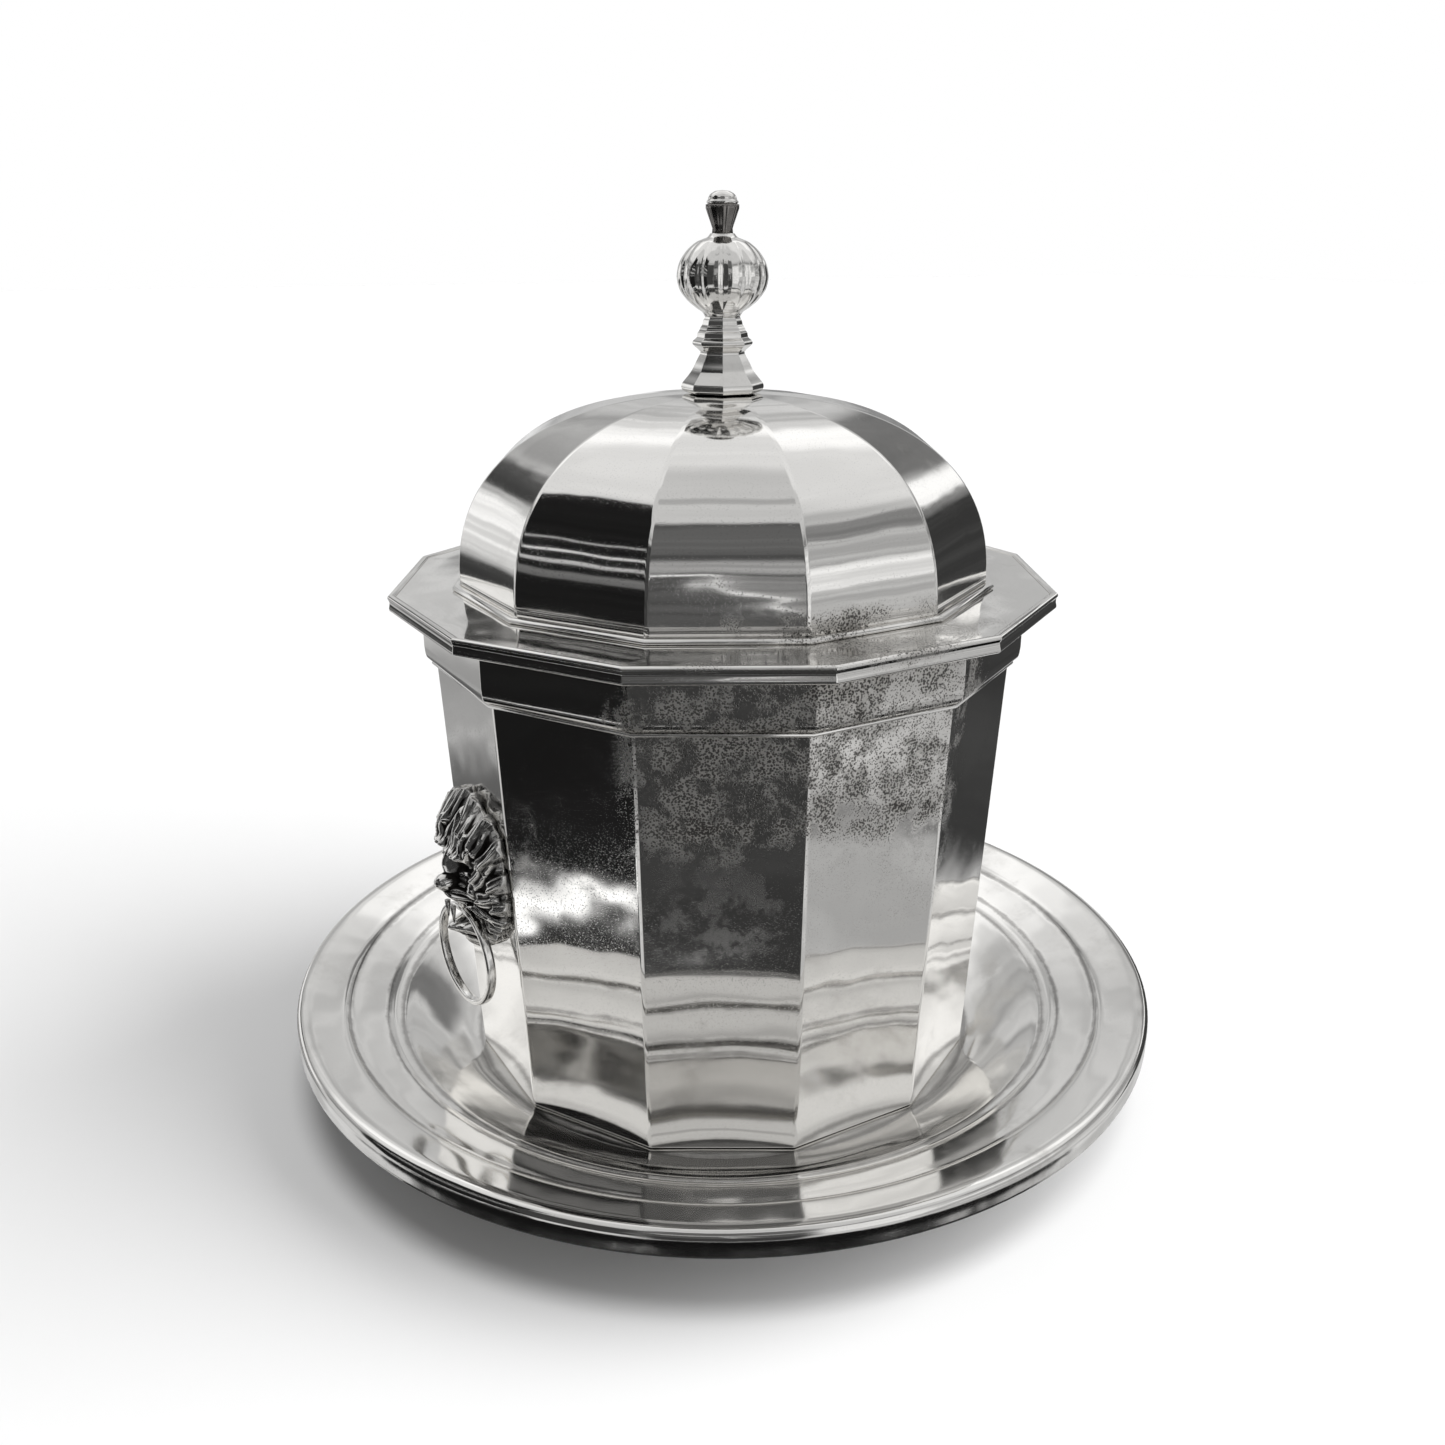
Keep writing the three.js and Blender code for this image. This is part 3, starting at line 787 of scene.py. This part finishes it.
bell = [
    (8.0, 0.1),
    (8.3, 0.4),
    (8.45, 0.9),
    (8.3, 1.5),
    (7.85, 2.1),
    (7.0, 3.1),
    (6.2, 4.2),
    (5.5, 5.6),
    (4.8, 6.9),
    (4.5, 7.5),
    (4.55, 7.78),
]
bell = [(r, FINIAL_Z + rise) for r, rise in [(7.4, -0.25), (7.8, -0.1), *curve_through(bell, 3)]]
finish_piece(
    "finial_bell",
    spin(threaded(bell), FACETS, LID_TURN),
    finial_silver,
    "lid",
    ["finial_foot"],
    round_off=0.3,
    corner=24,
)
stem = [
    (4.55, 7.8),
    (4.9, 8.2),
    (5.75, 8.9),
    (6.15, 9.5),
    (5.8, 10.1),
    (5.2, 10.6),
    (5.05, 11.5),
    (4.75, 11.8),
    (4.4, 12.6),
    (4.1, 13.0),
    (3.95, 13.7),
    (3.6, 14.4),
    (3.6, 14.68),
]
stem = [(r, FINIAL_Z + rise) for r, rise in curve_through(stem, 2)]
finish_piece(
    "finial_stem",
    spin(threaded(stem), FACETS, LID_TURN),
    finial_silver,
    "lid",
    ["finial_baluster"],
    round_off=0.3,
    corner=24,
)

LOBES = 12
MELON_Z = FINIAL_Z + 14.7
MELON_NECK_R = 3.6
melon = [
    (MELON_NECK_R, 0.0),
    (4.15, 0.8),
    (5.3, 1.55),
    (7.1, 3.0),
    (8.6, 4.9),
    (9.2, 6.9),
    (9.15, 8.5),
    (8.6, 10.4),
    (7.2, 12.4),
    (5.4, 13.9),
    (4.0, 14.5),
    (3.0, 14.9),
    (2.4, 15.6),
]
melon = [(r, MELON_Z + rise) for r, rise in curve_through(melon, 4)]
BORE_TOP_Z = MELON_Z + 8.0
MELON_TOP_Z = MELON_Z + 15.6
melon = [(0.0, BORE_TOP_Z), (BORE, BORE_TOP_Z), (BORE, MELON_Z), *melon, (0.0, MELON_TOP_Z)]
bm = spin(melon, LOBES * 12)
for vert in bm.verts:
    r = math.hypot(vert.co.x, vert.co.y) / MM
    turn = math.atan2(vert.co.y, vert.co.x) - LID_TURN
    groove = (1 - abs(math.cos(turn * LOBES / 2))) ** 2
    # the grooves run out towards the neck
    drawn_in = 1 - 0.013 * max(r - MELON_NECK_R, 0) * groove
    vert.co.x *= drawn_in
    vert.co.y *= drawn_in
finish_piece("finial_lobed_melon", bm, finial_silver, "lid", ["finial_melon"])

BUD_Z = MELON_TOP_Z
bud = [
    (0.0, BUD_Z),
    (2.1, BUD_Z),
    (2.0, BUD_Z + 0.9),
    (2.3, BUD_Z + 1.8),
    (3.3, BUD_Z + 4.6),
    (3.3, BUD_Z + 5.35),
    (0.0, BUD_Z + 5.5),
]
bm = spin(bud, FACETS * 6, LID_TURN)
for vert in bm.verts:
    turn = math.atan2(vert.co.y, vert.co.x) - LID_TURN
    flute = 1 - 0.09 * abs(math.sin(turn * FACETS)) ** 3
    vert.co.x *= flute
    vert.co.y *= flute
finish_piece("finial_bud_cone", bm, dark_silver, "lid", ["finial_bud"])
CAP_Z = BUD_Z + 5.5
button = [
    (3.0, 0.0),
    (3.15, 0.3),
    (2.85, 0.75),
    (2.75, 1.15),
    (2.35, 1.75),
    (1.4, 2.3),
]
button = [(r, CAP_Z + rise) for r, rise in curve_through(button, 3)]
button = [(0.0, CAP_Z - 0.1), (2.9, CAP_Z - 0.1), *button, (0.0, CAP_Z + 2.45)]
finish_piece("finial_button", spin(button, 48), finial_silver, "lid", ["finial_cap"])
for part in ("stud", "washer", "nut"):
    recoat("finial_" + part, plated_brass)


# ---- Room: a plain pale floor, the light and dark things of a room that the silver mirrors, and
# two broad lights that only the floor and the dull parts take.
floor_paint = bpy.data.materials.new("floor_paint")
recipe = Recipe(floor_paint)
grain = recipe.noise(recipe.node("ShaderNodeTexCoord", output=3), 6)
shade = recipe.blend(grain, (0.86, 0.86, 0.86), (0.88, 0.88, 0.88))
recipe.surface({"Base Color": shade, "Roughness": 0.9})
FLOOR_HALF = 6.0  # metres
bm = bmesh.new()
bmesh.ops.create_grid(bm, x_segments=1, y_segments=1, size=FLOOR_HALF)
mesh = bpy.data.meshes.new("floor")
bm.to_mesh(mesh)
bm.free()
floor = bpy.data.objects.new("floor", mesh)
bpy.context.scene.collection.objects.link(floor)
mesh.materials.append(floor_paint)
floor.visible_glossy = False

VIEW_TURN = math.radians(-30)  # the camera's place round the object
world = bpy.data.worlds.new("room")
bpy.context.scene.world = world
recipe = Recipe(world)
direction = recipe.node("ShaderNodeTexCoord", output=0)
turned = recipe.stretch(direction, (1, 1, 1), (0, 0, -VIEW_TURN))
wavy = recipe.noise(recipe.stretch(turned, (3, 3, 3)), 1.0, 3, 0.6)
rough_edge = recipe.noise(recipe.stretch(turned, (9, 9, 5)), 1.0, 3, 0.6)
across = recipe.node("ShaderNodeSeparateXYZ", {}, {0: turned}, output=0)
onward = recipe.node("ShaderNodeSeparateXYZ", {}, {0: turned}, output=1)
upward = recipe.node("ShaderNodeSeparateXYZ", {}, {0: turned}, output=2)
# degrees to the right of the camera's side of the room and degrees above the level, both uneven
bearing = recipe.maths("DEGREES", recipe.maths("ARCTAN2", across, onward * -1)) + 9 * (wavy - 0.5)
rise = recipe.maths("DEGREES", recipe.maths("ARCSINE", upward)) + 5 * (rough_edge - 0.5)
streaks = recipe.noise(recipe.stretch(turned, (1.6, 1.6, 16.0)), 1.4, 4, 0.6)
tone = recipe.ease(streaks, 0.3, 0.7, 0.22, 0.5)
# one row for each thing in the room, the later over the earlier: bearing, height, half its width,
# half its height, brightness, and how soft its edges are
ROOM = (
    # pale ground, ceiling, and the light wall and lamp beyond the bowl
    (0, -30, 360, 31, 0.62, 6),
    (180, 75, 360, 33, 0.6, 12),
    (180, 56, 92, 24, 0.8, 10),
    (180, 44, 50, 5, 1.1, 5),
    (180, 20, 40, 10, 0.6, 4),
    (180, 3, 36, 6, 0.5, 4),
    # bright windows to the right, with what stands below them
    (68, 5, 20, 40, 0.5, 4),
    (68, 8, 17, 6.5, 0.85, 0.8),
    (34, 4, 15, 26, 0.8, 4),
    (68, -25, 20, 6, 0.6, 3),
    (68, -17, 20, 4, 0.4, 3),
    (68, -28.4, 20, 0.5, 0.14, 0.4),
    (50, -23, 5, 3, 0.3, 3),
    (74, 34, 14, 5, 0.24, 2),
    # dark cupboard far to the right, and a lit shelf over it
    (133, -8, 18, 19, 0.05, 2),
    (134, 17, 10, 3.4, 0.95, 1.5),
    (154, 23, 13, 5, 0.18, 3),
    # far left: a light doorway between dark frames
    (-128, 5, 17, 9, 0.9, 3),
    (-128, -10, 17, 3, 0.05, 2),
    (-140, 20, 10, 3, 0.07, 2),
    (-158, 23, 14, 6, 0.42, 4),
    (-134, -20, 18, 2.5, 0.42, 1.5),
    (-134, -25, 18, 3, 0.13, 1.5),
    (-170, -4, 12, 3, 0.75, 2),
    (168, -4, 12, 6, 0.28, 3),
    # a person in dark clothes before the bowl, with a pale window behind them
    (0, 9, 20, 45, 0.085, 4),
    (0, 40, 20, 10, 0.13, 4),
    (0, 72, 40, 2, 0.42, 1.5),
    (0, -26, 18, 10, 0.045, 1.5),
    (0, 20, 18, 4.5, 0.36, 3),
    (5.6, 3, 2.2, 11, 0.25, 0.5),
    (-6, 3, 9, 11, 0.09, 0.5),
    (-6, 13.8, 9.2, 0.6, 1.0, 0.4),
    (3.0, 3, 0.35, 11, 0.95, 0.2),
    # the dark side of the room to the left, with slits of light and a bright gap low down
    (-36, 4, 17, 32, 0.05, 3),
    (-70, 10, 21, 40.9, 0.012, 0.9),
    (-68, 5, 18, 2.0, 0.16, 1.5),
    (-68, 12, 18, 1.0, 0.6, 0.8),
    (-66, 18.5, 16, 0.8, 0.7, 0.7),
    (-70, 26, 12, 0.6, 0.4, 0.6),
    (-68, -31.2, 18, 0.62, 1.4, 0.3),
    (-68, -34.7, 20, 2.8, 0.03, 0.5),
    (-68, -38.5, 18, 0.5, 0.3, 0.5),
    (-68, -40, 18, 0.5, 0.05, 0.5),
    # shade on the table, close round the stand and right under it
    (-5, -46, 110, 8, 0.006, 1.5),
    (0, -70, 360, 20, 0.04, 2),
)
for turn, up, wide, tall, bright, soft in ROOM:
    from_middle = recipe.maths("ABSOLUTE", recipe.maths("WRAP", bearing - turn, -180, 180))
    from_level = recipe.maths("ABSOLUTE", rise - up)
    inside = recipe.ease(from_middle, wide - soft, wide + soft, 1, 0)
    inside = inside * recipe.ease(from_level, tall - soft / 2, tall + soft / 2, 1, 0)
    tone = tone + inside * (bright - tone)
streaks = recipe.ease(streaks, 0.36, 0.64, -0.2, 0.2) * recipe.ease(rise, 25, 50, 1, 0.2)
tone = tone * (1 + streaks)
# the room is plain white behind the object, and lights dull things evenly
seen = recipe.node("ShaderNodeLightPath", output=0)
diffuse = recipe.node("ShaderNodeLightPath", output=2)
strength = seen + (1 - seen) * (diffuse * 0.26 + (1 - diffuse) * tone)
background = recipe.node("ShaderNodeBackground", {}, {0: (1, 1, 1, 1), 1: strength})
recipe.node("ShaderNodeOutputWorld", {}, {0: background})

right = Vector((math.cos(VIEW_TURN), math.sin(VIEW_TURN), 0))
away = Vector((-math.sin(VIEW_TURN), math.cos(VIEW_TURN), 0))
for name, beam, power, spread in (
    ("window", right - 0.05 * away + Vector((0, 0, 0.62)), 3.6, 58),
    ("ceiling", Vector((0, 0, 1)) + 0.1 * right - 0.35 * away, 1.2, 22),
):
    sun = bpy.data.lights.new(name, "SUN")
    sun.energy = power
    sun.angle = math.radians(spread)
    lamp = bpy.data.objects.new(name, sun)
    bpy.context.scene.collection.objects.link(lamp)
    lamp.rotation_euler = beam.to_track_quat("Z", "Y").to_euler()
    lamp.visible_glossy = False


# ---- Camera: close by, looking a little down at the middle of the bowl, as a person at the table
# sees it.
REACH = 0.300
RISE = math.radians(19.62)
LOOK_AT = Vector((0, 0, 0.0803))
back = Vector(
    (
        math.sin(VIEW_TURN) * math.cos(RISE),
        -math.cos(VIEW_TURN) * math.cos(RISE),
        math.sin(RISE),
    )
)
camera_data = bpy.data.cameras.new("camera")
camera_data.lens = 33.56
camera_data.clip_start = 0.01
camera_data.clip_end = 50
camera = bpy.data.objects.new("camera", camera_data)
bpy.context.scene.collection.objects.link(camera)
camera.location = LOOK_AT + back * REACH
camera.rotation_euler = back.to_track_quat("Z", "Y").to_euler()
bpy.context.scene.camera = camera
bpy.context.scene.view_settings.view_transform = "Standard"
